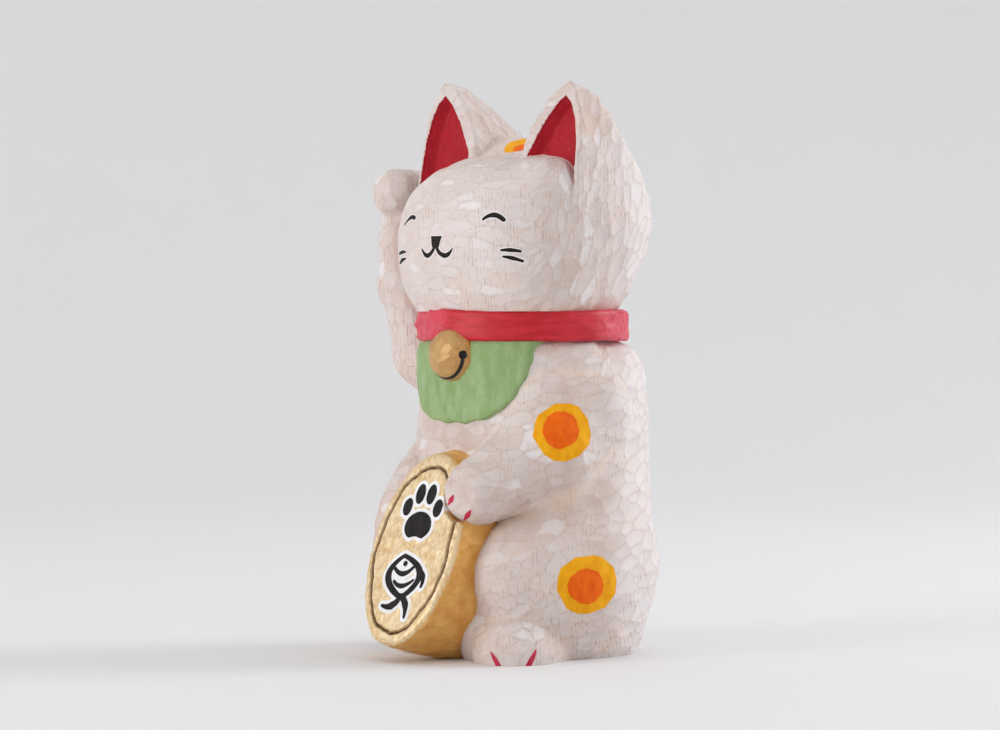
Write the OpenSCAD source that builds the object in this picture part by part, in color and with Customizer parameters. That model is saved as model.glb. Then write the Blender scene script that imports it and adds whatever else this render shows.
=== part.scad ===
// Beckoning cat figurine, carved in wood from joined blocks and painted.
// The cat faces -Y, +X is its left side, and the origin is the middle of the flat base.

/* [Body] */
// Height of the body, from its flat base to the seat under the collar
body_h = 66; // [62:1:70]
// Width of the trunk
torso_w = 47; // [44:1:50]
// Distance of the belly in front of the figure's axis
torso_front = 20; // [18:0.5:21]
// Distance of the back behind the figure's axis
torso_back = 27.5; // [25:0.5:29]
// How far the haunches stand out to each side
haunch_out = 27.5; // [25:0.5:29]

/* [Head] */
// Width of the head across the cheeks
head_w = 50; // [47:0.5:51]
// Depth of the head from face to nape
head_d = 51; // [47:0.5:53]
// Height of the crown above the collar
crown_h = 36.5; // [34:0.5:38]
// Height of the ear tips above the collar
ear_h = 48; // [44:0.5:50]
// Distance between the ear tips
ear_gap = 36; // [32:1:38]

/* [Collar, bib and bell] */
// Radius of the collar
collar_r = 22.4; // [21.5:0.1:23]
// Height of the collar band
collar_h = 6; // [5:0.2:8]
// Width of the bib at the collar
bib_w = 34; // [30:1:38]
// How far the bib hangs below the collar
bib_drop = 17.5; // [12:0.5:20]
// Thickness of the bib
bib_t = 1; // [0.6:0.1:1.4]
// Radius of the bell
bell_r = 5.6; // [4.5:0.1:6]

/* [Coin] */
// Width of the coin's face
coin_w = 24.5; // [21:0.5:27]
// Length of the coin's face
coin_l = 41.5; // [37:0.5:42]
// Lean of the coin's face, back from upright
coin_lean = 21; // [16:1:24]
// Height of the coin's middle above the base
coin_z = 23; // [21.5:0.5:24]
// Distance of the face's middle in front of the figure's axis
coin_out = 33; // [31:0.5:34]

/* [Raised arm] */
// Distance of the forearm from the figure's axis
arm_out = 32; // [31:0.5:33]
// Radius of the forearm
arm_r = 5.9; // [5:0.1:6.2]
// Radius of the raised paw
paw_r = 6.4; // [5.6:0.1:7]
// Height of the raised paw's middle
paw_z = 96.5; // [94:0.5:100]

/* [Dowels] */
// Diameter of the dowel through the neck
neck_dowel_d = 10; // [8:0.5:11]
// Diameter of the dowel in the raised arm
arm_dowel_d = 5; // [4:0.5:6]
// Diameter of the dowels behind the coin
coin_dowel_d = 4; // [3:0.5:5]
// Diameter of the bell's peg
bell_peg_d = 2.4; // [2:0.1:3]

/* [Hidden] */
$fn = 64;
bead_fn = 24;
gap = 0.05;

// The trunk: points in a ring, rings, and how sharply the haunches blend in.
around = 64;
levels = 22;
blend = 9;
belly_z = 22;
belly_square = 2.4;
swell_power = 3;
// How far above and below the belly each swell would close if it weren't cut off.
side_reach_up = 75;
back_reach_up = 60;
reach_down = 31;
chest_low_z = 44;

head_z = body_h + collar_h;
// Heights above the collar: the head's widest ring, and how far below it the head would close.
head_middle = 14;
head_reach_down = 22;
head_square = 2.4;
skull_rings = 15;
skull_around = 56;
// The last ring stands just below the crown, so that it isn't a point.
skull_top = 0.995;

// Ears: the tip, the two front corners of the foot, the ridge behind, and the hollow.
ear_fn = 20;
ear_tip_r = 1;
ear_x = ear_gap / 2;
ear_front_y = -4.5;
ear_foot = [[7.5, -6.5, 31], [22.5, -6, 23]];
ear_foot_r = 1.2;
ear_ridge = [
    [ear_x - 1.2, 1.7, ear_h - 8],
    [ear_x - 2, 5.7, ear_h - 13.6],
    [ear_x - 3, 9.3, ear_h - 20.3]
];
ear_ridge_r = [3, 4, 5];
ear_root = [[8, 10, 27], [20, 8, 22]];
ear_root_r = 3;
ear_hollow_tip = [ear_x - 0.4, -6.2, ear_h - 5];
ear_hollow_foot = [[10.5, -7.6, 31], [20.2, -7.6, 24], [16, -12, 32]];
ear_hollow_r = [1, 2];

arm_y = -2;
arm_root_at = [-17, arm_y, body_h - 9];
elbow = [-27, arm_y, body_h - 3];
elbow_r = 7;
arm_seat = -19.5;
arm_low_z = body_h + 12;
wrist_r = arm_r - 0.5;
wrist_drop = 10;
paw_forward = 1;
finger_forward = 6;
finger_rise = 0.5;
finger_r = 0.84 * paw_r;

left_shoulder = [9, 1, 51];
left_shoulder_r = 11.5;
left_elbow = [15.5, -9, 43];
left_elbow_r = 9.5;
left_paw = [11.5, -25, 35];
left_paw_r = 7;

// Each foot is rounded from heel to toes, and sunk until the base cuts it flat.
left_heel = [14, -12];
left_toes = [16.5, -20];
right_heel = [-13, -8];
right_toes = [-13, -13];
foot_z = 2;
foot_r = 8.2;

tail_at = [0, 24, 7];
tail_r = 5.5;
tail_tall = 1.3;

coin_back = -10;
coin_back_z = coin_z - 4.5;
coin_back_w = 27;
coin_back_l = 50;
coin_fn = 48;
coin_groove = 0.8;
groove_outer = [coin_w - 5, coin_l - 5.5];
groove_inner = [coin_w - 6.4, coin_l - 6.9];
coin_dowel_z = [14, 30];

// The bib's outline: how square it is, and its grid of points.
bib_square = 2.6;
bib_rows = 12;
bib_columns = 20;
// Its lowest row stands just above the tip, so that it has some width.
bib_tip = 0.985;

bell_at = [0, -22, body_h - 3];
bell_flat = 0.78;
slot_r = 0.9 * bell_r;
slot_out = 0.38 * bell_r;
slot_half = 0.4;
slot_end_r = 0.75;

neck_dowel_l = 34;
arm_dowel_l = 13;
arm_dowel_z = arm_root_at.z + 1.5;
coin_dowel_l = 14;
bell_peg_l = 9;
bell_peg_y = -19;
bell_peg_z = bell_at.z - 1.5;

// The haunches, thighs and shins, blended into the trunk: [middle, half sizes].
haunch_x = haunch_out - 12;
left_haunch = [[haunch_x, 1, 26], [12, 18, 24]];
left_thigh = [[haunch_x - 1.5, -5, 16], [12.6, 22.5, 14.6]];
left_shin = [[12, -8, 8], [11, 15, 12]];
left_ankle = [[8.5, -11, 5], [8.5, 16.5, 11]];
right_haunch = [[-haunch_x, -4, belly_z], [12, 22, 23]];
right_shin = [[-11, -9, 8], [11, 16, 14]];
lumps = [left_haunch, left_thigh, left_shin, left_ankle, right_haunch, right_shin];

// How far out from the upright axis a lump reaches, at an angle and a height.
function reach(lump, angle, z) =
    let (
        d = [cos(angle), sin(angle)],
        c = lump[0],
        s = lump[1],
        qa = pow(d.x / s.x, 2) + pow(d.y / s.y, 2),
        qb = c.x * d.x / pow(s.x, 2) + c.y * d.y / pow(s.y, 2),
        qc = pow(c.x / s.x, 2) + pow(c.y / s.y, 2) + pow((z - c.z) / s.z, 2) - 1,
        cut = qb * qb - qa * qc
    )
    cut > 0 ? max(0, (qb + sqrt(cut)) / qa) : 0;

function total(v) = v * [for (x = v) 1];

// The trunk's swell at a height, as a share of its widest.
function swell(z, reach_up) =
    let (far = abs(z - belly_z) / (z > belly_z ? reach_up : reach_down))
    pow(1 - pow(far, swell_power), 1 / swell_power);

// Distance of the chest in front of the axis: the belly, brought out to the collar.
function chest(z) =
    let (up = max(0, z - chest_low_z) / (body_h - chest_low_z))
    z < belly_z ? torso_front * swell(z, side_reach_up)
        : torso_front + (collar_r - bib_t - torso_front) * up * up * (3 - 2 * up);

// The trunk's distance from the axis, a rounded square in plan.
function trunk_reach(angle, z) =
    let (
        n = belly_square,
        w = torso_w / 2 * swell(z, side_reach_up),
        d = sin(angle) > 0 ? torso_back * swell(z, back_reach_up) : chest(z)
    )
    pow(pow(abs(cos(angle)) / w, n) + pow(abs(sin(angle)) / d, n), -1 / n);

// The body's skin: the trunk with the haunches blended in.
function skin(angle, z) =
    pow(
        pow(trunk_reach(angle, z), blend)
            + total([for (l = lumps) pow(reach(l, angle, z), blend)]),
        1 / blend
    );

// Heights of the rings, closer together near the base.
function level(i) = let (t = i / levels) body_h * t * (0.7 + 0.3 * t);

// The side faces of a skin of rings that all have the same number of points.
function ring_faces(rings, n) = [
    for (i = [0 : rings - 2]) for (j = [0 : n - 1])
        let (k = (j + 1) % n)
        each [
            [i * n + j, (i + 1) * n + j, i * n + k],
            [i * n + k, (i + 1) * n + j, (i + 1) * n + k]
        ]
];

// A solid of level rings round the upright axis, each end closed from its middle.
module rings_solid(points, rings, n) {
    last = len(points) - 1;
    middles = [[0, 0, points[0].z], [0, 0, points[last].z]];
    faces = [
        for (j = [0 : n - 1])
            let (k = (j + 1) % n)
            each [
                [last + 1, j, k],
                [last + 2, (rings - 1) * n + k, (rings - 1) * n + j]
            ]
    ];
    polyhedron(concat(points, middles), concat(faces, ring_faces(rings, n)));
}

// Everything under the plane that the figure stands on.
module below_base() {
    translate([0, 0, -20]) cube([100, 120, 40], center = true);
}

function ellipse_points(w, l, n) = [
    for (i = [0 : n - 1]) let (a = 360 * i / n) [w / 2 * cos(a), l / 2 * sin(a)]
];

// Puts the coin's face in the local XY plane, with local +Z out of the face.
module on_coin_face() {
    translate([0, -coin_out, coin_z]) rotate([90 - coin_lean, 0, 0]) children();
}

// The coin's block: a leaning oval face, drawn back into the belly.
module coin_block(grow = 0) {
    w = 2 * grow;
    difference() {
        hull() {
            on_coin_face() translate([0, 0, -1])
                linear_extrude(1) polygon(ellipse_points(coin_w + w, coin_l + w, coin_fn));
            translate([0, coin_back + grow, coin_back_z]) rotate([90, 0, 0]) linear_extrude(1)
                polygon(ellipse_points(coin_back_w + w, coin_back_l + w, coin_fn));
        }
        below_base();
    }
}

// The way that the left paw leaves open in the coin's edge.
module paw_notch(grow = 0) {
    translate([left_paw.x, 0, left_paw.z]) rotate([90, 0, 0])
        cylinder(r = left_paw_r + grow, h = 60);
}

module along_y(at, d, l) {
    translate(at) rotate([90, 0, 0]) cylinder(d = d, h = l, center = true);
}

module coin_dowel_set(d, l) {
    for (z = coin_dowel_z) along_y([0, coin_back, z], d, l);
}

module bell_peg_at(d, l) {
    along_y([0, bell_peg_y, bell_peg_z], d, l);
}

module arm_dowel_at(d, l) {
    translate([arm_seat, arm_y, arm_dowel_z]) rotate([0, 90, 0])
        cylinder(d = d, h = l, center = true);
}

module neck_dowel_at(d, l) {
    translate([0, 0, body_h + collar_h / 2]) cylinder(d = d, h = l, center = true);
}

module bead(at, r) {
    translate(at) sphere(r = r, $fn = bead_fn);
}

module trunk() {
    points = [
        for (i = [0 : levels]) for (j = [0 : around - 1])
            let (a = 360 * j / around, z = level(i), r = skin(a, z))
            [r * cos(a), r * sin(a), z]
    ];
    rings_solid(points, levels + 1, around);
}

module left_arm() {
    hull() {
        bead(left_shoulder, left_shoulder_r);
        bead(left_elbow, left_elbow_r);
        bead(left_paw, left_paw_r);
    }
}

// The left foot is turned out and stands forward, the right foot is tucked in.
module foot(from, to) {
    hull() {
        bead([from.x, from.y, foot_z], foot_r);
        bead([to.x, to.y, foot_z], foot_r);
    }
}

module tail() {
    translate(tail_at) scale([1, 1, tail_tall]) sphere(r = tail_r, $fn = 32);
}

// The upper part of the raised arm, from the flank to the elbow.
module arm_root(grow = 0) {
    hull() {
        bead(arm_root_at, elbow_r + grow);
        bead(elbow, elbow_r + grow);
    }
}

module body() {
    color("linen") difference() {
        union() {
            trunk();
            left_arm();
            foot(left_heel, left_toes);
            foot(right_heel, right_toes);
            tail();
        }
        below_base();
        difference() {
            coin_block(gap);
            paw_notch();
        }
        intersection() {
            arm_root(gap);
            translate([arm_seat - 30, -20, 40]) cube([30, 40, 40]);
        }
        neck_dowel_at(neck_dowel_d + 2 * gap, neck_dowel_l + 1);
        arm_dowel_at(arm_dowel_d + 2 * gap, arm_dowel_l + 1);
        coin_dowel_set(coin_dowel_d + 2 * gap, coin_dowel_l + 1);
        bell_peg_at(bell_peg_d + 2 * gap, bell_peg_l + 1);
    }
}

// The head's outline at a height above the collar, as a share of its widest.
function head_share(h) =
    let (
        reach_up = crown_h - head_middle,
        t = (h - head_middle) / (h > head_middle ? reach_up : head_reach_down)
    )
    pow(max(0, 1 - pow(abs(t), head_square)), 1 / head_square);

// A point of a rounded square in plan, w wide and d deep.
function square_round(a, w, d) =
    let (n = head_square, c = cos(a), s = sin(a))
    [
        w / 2 * sign(c) * pow(abs(c), 2 / n),
        d / 2 * sign(s) * pow(abs(s), 2 / n)
    ];

module head_skull() {
    points = [
        for (i = [0 : skull_rings - 1])
            let (h = crown_h * skull_top * sin(90 * i / (skull_rings - 1)), s = head_share(h))
            for (j = [0 : skull_around - 1])
                let (p = square_round(360 * j / skull_around, head_w * s, head_d * s))
                [p.x, p.y, head_z + h]
    ];
    rings_solid(points, skull_rings, skull_around);
}

module ear_bead(side, at, r) {
    translate([side * at.x, at.y, head_z + at.z]) sphere(r = r, $fn = ear_fn);
}

// An ear: a thick wedge with a hollow front, its ridge running to the back of the head.
module ear(side) {
    difference() {
        hull() {
            ear_bead(side, [ear_x, ear_front_y, ear_h - ear_tip_r], ear_tip_r);
            for (at = ear_foot) ear_bead(side, at, ear_foot_r);
            for (i = [0 : 2]) ear_bead(side, ear_ridge[i], ear_ridge_r[i]);
            for (at = ear_root) ear_bead(side, at, ear_root_r);
        }
        hull() {
            ear_bead(side, ear_hollow_tip, ear_hollow_r[0]);
            for (at = ear_hollow_foot) ear_bead(side, at, ear_hollow_r[1]);
        }
    }
}

module head() {
    color("linen") difference() {
        union() {
            head_skull();
            ear(1);
            ear(-1);
        }
        neck_dowel_at(neck_dowel_d + 2 * gap, neck_dowel_l + 1);
    }
}

module raised_arm() {
    low = [-arm_out, arm_y, arm_low_z];
    wrist = [-arm_out, arm_y, paw_z - wrist_drop];
    paw = [-arm_out, arm_y - paw_forward, paw_z];
    fingers = [-arm_out, arm_y - finger_forward, paw_z + finger_rise];
    color("linen") difference() {
        union() {
            arm_root();
            hull() {
                bead(elbow, elbow_r);
                bead(low, arm_r);
            }
            hull() {
                bead(low, arm_r);
                bead(wrist, wrist_r);
            }
            hull() {
                bead(wrist, wrist_r);
                bead(paw, paw_r);
            }
            hull() {
                bead(paw, paw_r);
                bead(fingers, finger_r);
            }
        }
        // What lies inside the body, and what the collar takes up.
        translate([arm_seat, -30, 0]) cube([60, 60, 130]);
        translate([0, 0, body_h - gap]) cylinder(r = collar_r + gap, h = collar_h + 10);
        arm_dowel_at(arm_dowel_d + 2 * gap, arm_dowel_l + 1);
    }
}

module collar() {
    color("crimson") difference() {
        translate([0, 0, body_h]) cylinder(r = collar_r, h = collar_h, $fn = 96);
        neck_dowel_at(neck_dowel_d + 2 * gap, neck_dowel_l);
    }
}

// A curved plate on the chest, a half oval seen from the front.
module bib() {
    c = bib_columns;
    n = 2 * (c + 1);
    back_t = 3 * gap;
    function half_angle(z) =
        let (
            drop = (body_h - z) / bib_drop,
            share = pow(max(0, 1 - pow(drop, bib_square)), 1 / bib_square)
        )
        asin(bib_w * share / torso_w);
    function bib_point(a, z, t) = let (r = skin(a, z) + t) [r * cos(a), r * sin(a), z];
    function turn(half, j) = -90 + half * (2 * j / c - 1);
    points = [
        for (i = [0 : bib_rows])
            let (z = body_h - gap - bib_drop * bib_tip * sin(90 * (1 - i / bib_rows)))
            let (half = half_angle(z))
            concat(
                [for (j = [0 : c]) bib_point(turn(half, j), z, bib_t)],
                [for (j = [c : -1 : 0]) bib_point(turn(half, j), z, back_t)]
            )
    ];
    ends = [
        for (j = [0 : c - 1])
            each [
                [j, j + 1, n - 2 - j, n - 1 - j],
                [for (i = [n - 1 - j, n - 2 - j, j + 1, j]) bib_rows * n + i]
            ]
    ];
    color("darkseagreen") difference() {
        polyhedron([for (row = points) each row], concat(ends, ring_faces(bib_rows + 1, n)));
        bell_peg_at(bell_peg_d + 2 * gap, bell_peg_l + 1);
    }
}

// A flattened ball with a slot round its lower half and a hole at each end of the slot.
module bell() {
    color("goldenrod") difference() {
        translate(bell_at) rotate([90, 0, 0]) rotate_extrude() intersection() {
            scale([1, bell_flat]) circle(r = bell_r);
            translate([0, -bell_r]) square([bell_r, 2 * bell_r]);
        }
        translate([0, 0, bell_at.z - bell_r - 1]) cylinder(r = collar_r + gap, h = 2 * bell_r + 2);
        translate([0, bell_at.y - slot_out, bell_at.z]) rotate([90, 0, 0]) rotate([0, 0, 180])
            rotate_extrude(angle = 180) translate([slot_r, 0]) circle(r = slot_half, $fn = 16);
        for (side = [-1, 1])
            translate([side * slot_r, bell_at.y - slot_out, bell_at.z]) rotate([0, 90, 0])
                cylinder(r = slot_end_r, h = 2, center = true);
        bell_peg_at(bell_peg_d + 2 * gap, bell_peg_l + 1);
    }
}

module coin() {
    color("goldenrod") difference() {
        coin_block();
        paw_notch(gap);
        on_coin_face() translate([0, 0, -coin_groove]) linear_extrude(2 * coin_groove) difference() {
            polygon(ellipse_points(groove_outer.x, groove_outer.y, coin_fn));
            polygon(ellipse_points(groove_inner.x, groove_inner.y, coin_fn));
        }
        coin_dowel_set(coin_dowel_d + 2 * gap, coin_dowel_l + 1);
    }
}

module neck_dowel() {
    color("burlywood") neck_dowel_at(neck_dowel_d, neck_dowel_l);
}

module arm_dowel() {
    color("burlywood") arm_dowel_at(arm_dowel_d, arm_dowel_l);
}

module coin_dowels() {
    color("burlywood") coin_dowel_set(coin_dowel_d, coin_dowel_l);
}

module bell_peg() {
    color("burlywood") bell_peg_at(bell_peg_d, bell_peg_l);
}

body();
head();
raised_arm();
collar();
bib();
bell();
coin();
neck_dowel();
arm_dowel();
coin_dowels();
bell_peg();
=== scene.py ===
"""The looks of the beckoning cat: carved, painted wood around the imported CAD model."""

import itertools
import math

import bpy
import numpy as np
import openvdb
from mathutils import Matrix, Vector
from mathutils.bvhtree import BVHTree
from mathutils.geometry import tessellate_polygon


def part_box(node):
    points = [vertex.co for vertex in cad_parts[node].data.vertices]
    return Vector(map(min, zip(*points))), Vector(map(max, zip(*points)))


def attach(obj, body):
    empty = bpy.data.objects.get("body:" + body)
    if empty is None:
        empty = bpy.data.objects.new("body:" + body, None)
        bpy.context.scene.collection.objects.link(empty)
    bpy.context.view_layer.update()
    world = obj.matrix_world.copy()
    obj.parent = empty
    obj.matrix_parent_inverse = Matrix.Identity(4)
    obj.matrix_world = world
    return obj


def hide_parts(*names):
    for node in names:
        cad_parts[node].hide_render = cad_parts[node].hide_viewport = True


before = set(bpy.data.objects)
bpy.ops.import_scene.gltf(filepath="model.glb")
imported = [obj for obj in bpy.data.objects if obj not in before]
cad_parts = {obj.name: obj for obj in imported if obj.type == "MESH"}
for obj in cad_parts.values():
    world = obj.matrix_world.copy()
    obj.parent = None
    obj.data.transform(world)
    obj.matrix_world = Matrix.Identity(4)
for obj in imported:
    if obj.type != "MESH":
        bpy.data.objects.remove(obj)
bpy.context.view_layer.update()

MM = 0.001
SEED = 7
SHARP_EDGE = math.radians(35)


def box_mm(node):
    """The lowest and highest corner of a CAD node, in millimetres."""
    low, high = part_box(node)
    return np.array(low) / MM, np.array(high) / MM


# ---- sizes, in millimetres

BODY_HIGH = box_mm("body")[1]
HEAD_LOW, HEAD_HIGH = box_mm("head")
COLLAR_LOW, COLLAR_HIGH = box_mm("collar")
BELL_HIGH = box_mm("bell")[1]
COIN_LOW, COIN_HIGH = box_mm("coin")
ARM_LOW, ARM_HIGH = box_mm("raised_arm")
BIB_LOW, BIB_HIGH = box_mm("bib")

VIEW_TURN = math.radians(44)
SIDE_AXIS = (math.cos(VIEW_TURN), math.sin(VIEW_TURN), 0)
UP_AXIS = (0, 0, 1)
TO_VIEW = (math.sin(VIEW_TURN), -math.cos(VIEW_TURN), 0)
FRONT = (0, -1, 0)

NECK_Z = COLLAR_LOW[2]
HEAD_Z = COLLAR_HIGH[2]
COLLAR_R = COLLAR_HIGH[0]
COLLAR_ROUND = 1.1
COLLAR_BORE = 14.0
TIP_Z = HEAD_HIGH[2]

TORSO_W = 47.0
TORSO_FRONT = 20.0
TORSO_BACK = 27.8
BELLY_Z = 22.0
BASE_REACH = 36.0
CHEST_REACH = 75
CHEST_FLARE_Z = 44
SQUARE = 2.4
BLEND = 9
HAUNCH_X = BODY_HIGH[0] - 13.4
HAUNCHES = [
    ((HAUNCH_X, 1, 20), (12, 15.5, 25)),
    ((HAUNCH_X - 0.8, -5, 18), (12.6, 22.5, 13.5)),
    ((-HAUNCH_X, -4, BELLY_Z), (12, 22, 23)),
    ((12, -8, 8), (11, 15, 12)),
    ((8, -11, 5), (7.5, 14.6, 10)),
    ((-11, -9, 8), (11, 16, 14)),
]
LEFT_ARM = [((18, 0.5, 50.5), 9.5), ((16, -9.5, 43), 9.5), ((11.5, -25, 35), 7.0)]
LEFT_SHOULDER = [((13.5, -6, 52), 10.5), ((16, -9.5, 43), 9.5)]
LEFT_FOOT = [((14.5, -12, 2), 8.4), ((17, -20.4, 2), 8.4)]
RIGHT_FOOT = [((-13, -8, 2), 8.2), ((-13, -13, 2), 8.2)]
SHOULDER_RISE = 0.8
SHOULDER_ROUND = 5.0
BACK_ROUND = 5.0
TAIL_AT = (0, 24, 7)
TAIL_SIZE = (5.5, 5.5, 7.2)

PAW_R = 6.4
ARM_X = ARM_LOW[0] + PAW_R
ARM_Y = -2.0
PAW_Z = ARM_HIGH[2] - PAW_R
RAISED_ARM = [
    ((-17, ARM_Y, NECK_Z - 9), 7.0),
    ((-27, ARM_Y, NECK_Z - 3), 7.0),
    ((ARM_X, ARM_Y - 1.4, NECK_Z + 12), 5.9),
    ((ARM_X, ARM_Y - 1.4, PAW_Z - 10), 5.6),
    ((ARM_X, ARM_Y - 0.2, PAW_Z + 0.2), 6.2),
]
FINGERS = [((ARM_X, ARM_Y - 0.2, PAW_Z + 0.6), 6.0), ((ARM_X, ARM_Y - 4.4, PAW_Z + 1.4), 5.4)]
ARM_SEAT_X = -19.5
ARM_SEAM = 1.2
SEAM_GAP = 0.02

HEAD_MIDDLE = (0.0, 0.0, HEAD_Z + 14)
HEAD_HALF = (24.8, 25.3, 22.0)
FOREHEAD_H = 19.4
CROWN_H = 22.9
NAPE_IN = 2.3
MUZZLE_AT = (0, -20.3, HEAD_Z + 12)
MUZZLE_SIZE = (9.0, 5.3, 6.0)
BROW_AT = (15.3, -8.5, HEAD_Z + 25)
BROW_SIZE = (7.0, 8.0, 7.2)

EAR_TIP = np.array((18.2, -5.2, TIP_Z))
EAR_FRONT = np.array((0.019, -0.988, 0.157))
# Outlines in front view: across from the middle, and down from the tip.
EAR_OUTLINE = [
    (18.3, 0.3), (14, -2.4), (10, -7.2), (7.2, -12.4), (6, -20), (6, -32),
    (24.6, -32), (24.2, -22.5), (23.5, -16), (23, -10.2), (22.2, -6), (20.7, -2.7),
]
EAR_HOLLOW = [
    (17.7, -3), (15, -5.4), (12.1, -9.1), (8.6, -15.4), (7.8, -22), (8, -32),
    (22.9, -32), (22.7, -22), (22.1, -13), (21.2, -8.4), (19.6, -4.7),
]
EAR_RIDGE = [
    ((18, -4.5, TIP_Z + 0.3), (0.1, 0.4, 0.9)),
    ((18, 0.8, TIP_Z - 2.2), (0, 0.755, 0.656)),
    ((18, 8.5, TIP_Z - 11), (0, 0.81, 0.586)),
    ((20.5, 8.5, TIP_Z - 11), (0.62, 0.6, 0.5)),
    ((8, 5, TIP_Z - 9.5), (-0.42, 0.5, 0.76)),
]
EAR_DEPTH = 2.0
RIGHT_EAR_LIFT = 1.4
EAR_PLAN = (24.8, 25.0)
EAR_FOOT_Z = HEAD_Z + 17.0

COIN_LEAN = math.radians(21)
COIN_AT = np.array((0, -33.0, 23.0))
COIN_UP = np.array((0, math.sin(COIN_LEAN), math.cos(COIN_LEAN)))
COIN_OUT = np.array((0, -math.cos(COIN_LEAN), math.sin(COIN_LEAN)))
COIN_HALF = (12.3, 20.8)
COIN_BACK_Y = COIN_HIGH[1]
COIN_BACK_HALF = (13.5, 23.2)
COIN_BACK_Z = 20.3
GROOVE_HALF = (10.4, 17.9)
GROOVE_W = 0.5
GROOVE_DEPTH = 1.0
COIN_LAP = 0.7
COIN_CUT_R = 6.4
BODY_PAW_R = 7.2

BIB_HALF = 16.6
BIB_SQUARE = 2.6
BIB_OVER = 0.85
BIB_UNDER = 0.6

BELL_AT = np.array((0, -21.0, NECK_Z - 3))
BELL_R = BELL_HIGH[0]
BELL_FLAT = 0.78
SLOT_OUT = 0.38 * BELL_R
SLOT_R = 0.92 * BELL_R
SLOT_HALF = 0.36
SLOT_HOLE_R = 0.85


# ---- shape functions


def length(v):
    return np.sqrt((v * v).sum(-1))


def smooth_min(a, b, k):
    share = np.clip(0.5 + 0.5 * (b - a) / k, 0, 1)
    return b + (a - b) * share - k * share * (1 - share)


def smooth_max(a, b, k):
    return -smooth_min(-a, -b, k)


def smooth_step(value, low, high):
    t = np.clip((value - low) / (high - low), 0, 1)
    return t * t * (3 - 2 * t)


def ellipsoid(p, at, size):
    q = (p - np.array(at, np.float32)) / np.array(size, np.float32)
    near = length(q)
    steep = length(q / np.array(size, np.float32))
    return near * (near - 1) / np.maximum(steep, 1e-6)


def capsule(p, a, ra, b, rb):
    """A rod with round ends, its radius going from ra to rb."""
    a = np.array(a, np.float32)
    along = np.array(b, np.float32) - a
    t = np.clip(((p - a) @ along) / (along @ along), 0, 1)
    return length(p - a - t[..., None] * along) - (ra + (rb - ra) * t)


def chain(p, beads, k):
    """Rods through beads, one after the other."""
    found = None
    for (a, ra), (b, rb) in zip(beads, beads[1:]):
        rod = capsule(p, a, ra, b, rb)
        found = rod if found is None else smooth_min(found, rod, k)
    return found


def swell(z, reach):
    far = np.abs(z - BELLY_Z) / np.where(z > BELLY_Z, reach, BASE_REACH)
    return np.maximum(1e-3, 1 - far**3) ** (1 / 3)


def chest(z):
    up = np.clip((z - CHEST_FLARE_Z) / (NECK_Z - CHEST_FLARE_Z), 0, 1)
    low = TORSO_FRONT * swell(z, CHEST_REACH)
    high = TORSO_FRONT + (COLLAR_R - 1 - TORSO_FRONT) * up * up * (3 - 2 * up)
    return np.where(z < BELLY_Z, low, high)


def lump_reach(lump, dx, dy, z):
    """How far out from the upright axis a lump reaches, in a direction and at a height."""
    c, s = lump
    qa = (dx / s[0]) ** 2 + (dy / s[1]) ** 2
    qb = c[0] * dx / s[0] ** 2 + c[1] * dy / s[1] ** 2
    qc = (c[0] / s[0]) ** 2 + (c[1] / s[1]) ** 2 + ((z - c[2]) / s[2]) ** 2 - 1
    cut = qb * qb - qa * qc
    return np.maximum((qb + np.sqrt(np.maximum(cut, 0))) / qa, 0) * (cut > 0)


def trunk(p):
    """The trunk with its haunches, the same skin as the CAD body."""
    x, y, z = p[..., 0], p[..., 1], p[..., 2]
    r = np.maximum(np.hypot(x, y), 1e-3)
    dx, dy = x / r, y / r
    wide = TORSO_W / 2 * swell(z, CHEST_REACH)
    deep = np.where(dy > 0, TORSO_BACK * swell(z, CHEST_REACH), chest(z))
    square = np.where(dy > 0, SQUARE, SQUARE - 0.4 * smooth_step(z, 38, 60))
    core = (np.abs(dx / wide) ** square + np.abs(dy / deep) ** square) ** (-1 / square)
    total = core**BLEND
    for lump in HAUNCHES:
        total += lump_reach(lump, dx, dy, z) ** BLEND
    return r - total ** (1 / BLEND)


def arm_shape(p):
    arm = chain(p, RAISED_ARM, 2.5)
    return smooth_min(arm, chain(p, FINGERS, 1.0), 1.2)


def left_arm(p):
    return smooth_min(chain(p, LEFT_ARM, 4.0), chain(p, LEFT_SHOULDER, 1.0), 3.0)


def below_neck(p, shape):
    """Ends a shape under the collar, with softer shoulders at the back."""
    soft = SHOULDER_ROUND + BACK_ROUND * smooth_step(p[..., 1], -4, 8)
    return smooth_max(shape, p[..., 2] - NECK_Z - SHOULDER_RISE, soft)


def sharp_min(a, b, _):
    return np.minimum(a, b)


def figure(p, join=smooth_min):
    """Trunk, arms, feet and tail in one, before it is parted into body and raised arm."""
    under = smooth_step(-p[..., 2], -40, -30)
    forms = [
        (left_arm(p), 1.6 + 3.0 * under),
        (chain(p, LEFT_FOOT, 1.0), 1.2),
        (chain(p, RIGHT_FOOT, 1.0), 2.0),
        (ellipsoid(p, TAIL_AT, TAIL_SIZE), 1.5),
    ]
    shape = trunk(p)
    for form, fillet in forms:
        shape = join(shape, form, fillet)
    return join(below_neck(p, shape), arm_shape(p), 2.5)


def arm_side(p):
    """Negative where the wood belongs to the raised arm's block."""
    return np.maximum(arm_shape(p) - ARM_SEAM, p[..., 0] - ARM_SEAT_X)


def between(a, b, t):
    return a * (1 - t) + b * t


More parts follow.
